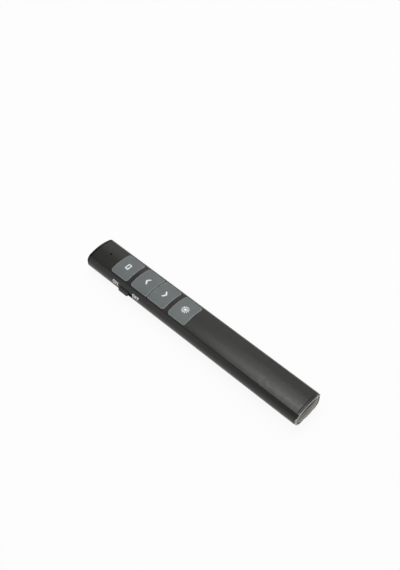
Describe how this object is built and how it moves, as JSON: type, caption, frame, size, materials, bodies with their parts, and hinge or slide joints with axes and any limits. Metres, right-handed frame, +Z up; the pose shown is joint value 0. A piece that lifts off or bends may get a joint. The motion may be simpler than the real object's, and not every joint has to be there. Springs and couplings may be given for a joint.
{
  "type": "wireless presentation clicker",
  "caption": "Slim handheld presentation remote: keys along the top, a power slide on one flank, a battery door underneath and a USB receiver stowed in the tail.",
  "frame": {"origin": "on the resting strip of the underside, under the middle of the overall length", "axes": "+X from the laser end to the receiver at the tail, the slide switch on the -Y flank, +Z up through the keys"},
  "size_m": [0.151, 0.0218, 0.0135],
  "materials": {
    "shell": "fine satin black moulded plastic",
    "nose": "glossy black moulded plastic",
    "symbol": "white plastic inlay",
    "ring": "satin black moulded plastic",
    "knob": "black moulded plastic with grip ridges",
    "key": "satin blue-grey paint",
    "stem": "black moulded plastic",
    "receiver": "satin dark grey moulded plastic",
    "plug_steel": "stamped nickel-plated steel",
    "tongue": "white moulded plastic",
    "gold": "gold-plated",
    "screw_steel": "black zinc steel",
    "window": "clear dark-red acrylic",
    "light_pipe": "clear acrylic",
    "board": "green solder mask",
    "switch_metal": "tinned steel can",
    "chip": "moulded epoxy",
    "ferrite": "ferrite",
    "can": "nickel-plated can",
    "led": "clear epoxy",
    "barrel": "turned brass",
    "lens": "clear acrylic",
    "tinned": "nickel-plated spring steel",
    "cell": null
  },
  "bodies": {
    "root": {"battery_cell": "cell", "boost_inductor": "ferrite", "bottom_shell": "shell", "circuit_board": "board", "crystal": "can", "housing_screws": "screw_steel", "laser_barrel": "barrel", "laser_board": "board", "laser_diode": "can", "laser_leads": "tinned", "laser_lens": "lens", "laser_window": "window", "light_pipe": "light_pipe", "negative_spring": "tinned", "negative_strap": "tinned", "nose_cap": "nose", "positive_contact": "tinned", "radio_chip": "chip", "slide_switch_body": "switch_metal", "status_led": "led", "tactile_switches": "switch_metal", "tail_ring": "ring", "top_shell": "shell"},
    "black_screen_button": {"black_screen_key": "key", "black_screen_stem": "stem", "black_screen_symbol": "symbol"},
    "previous_button": {"previous_key": "key", "previous_stem": "stem", "previous_symbol": "symbol"},
    "next_button": {"next_key": "key", "next_stem": "stem", "next_symbol": "symbol"},
    "laser_button": {"laser_key": "key", "laser_stem": "stem", "laser_symbol": "symbol"},
    "power_slide": {"switch_knob": "knob", "switch_lever": "stem"},
    "door": {"battery_door": "shell"},
    "receiver": {"receiver_cap": "receiver", "receiver_plug": "plug_steel", "receiver_tongue": "tongue", "receiver_contacts": "gold"}
  },
  "joints": [
    {"name": "black_screen_press", "type": "slide", "parent": "root", "child": "black_screen_button", "axis": [0, 0, -1], "range_m": [0, 0.0004], "stiffness_N_per_m": 400},
    {"name": "previous_press", "type": "slide", "parent": "root", "child": "previous_button", "axis": [0, 0, -1], "range_m": [0, 0.0004], "stiffness_N_per_m": 400},
    {"name": "next_press", "type": "slide", "parent": "root", "child": "next_button", "axis": [0, 0, -1], "range_m": [0, 0.0004], "stiffness_N_per_m": 400},
    {"name": "laser_press", "type": "slide", "parent": "root", "child": "laser_button", "axis": [0, 0, -1], "range_m": [0, 0.0004], "stiffness_N_per_m": 400},
    {"name": "power_switch", "type": "slide", "parent": "root", "child": "power_slide", "axis": [1, 0, 0], "range_m": [0, 0.0025]},
    {"name": "door_hinge", "type": "hinge", "parent": "root", "child": "door", "pos_m": [0.05635, 0, 0.00065], "axis": [0, -1, 0], "range_deg": [0, 70]},
    {"name": "receiver_pull", "type": "slide", "parent": "root", "child": "receiver", "axis": [1, 0, 0], "range_m": [0, 0.017]}
  ]
}
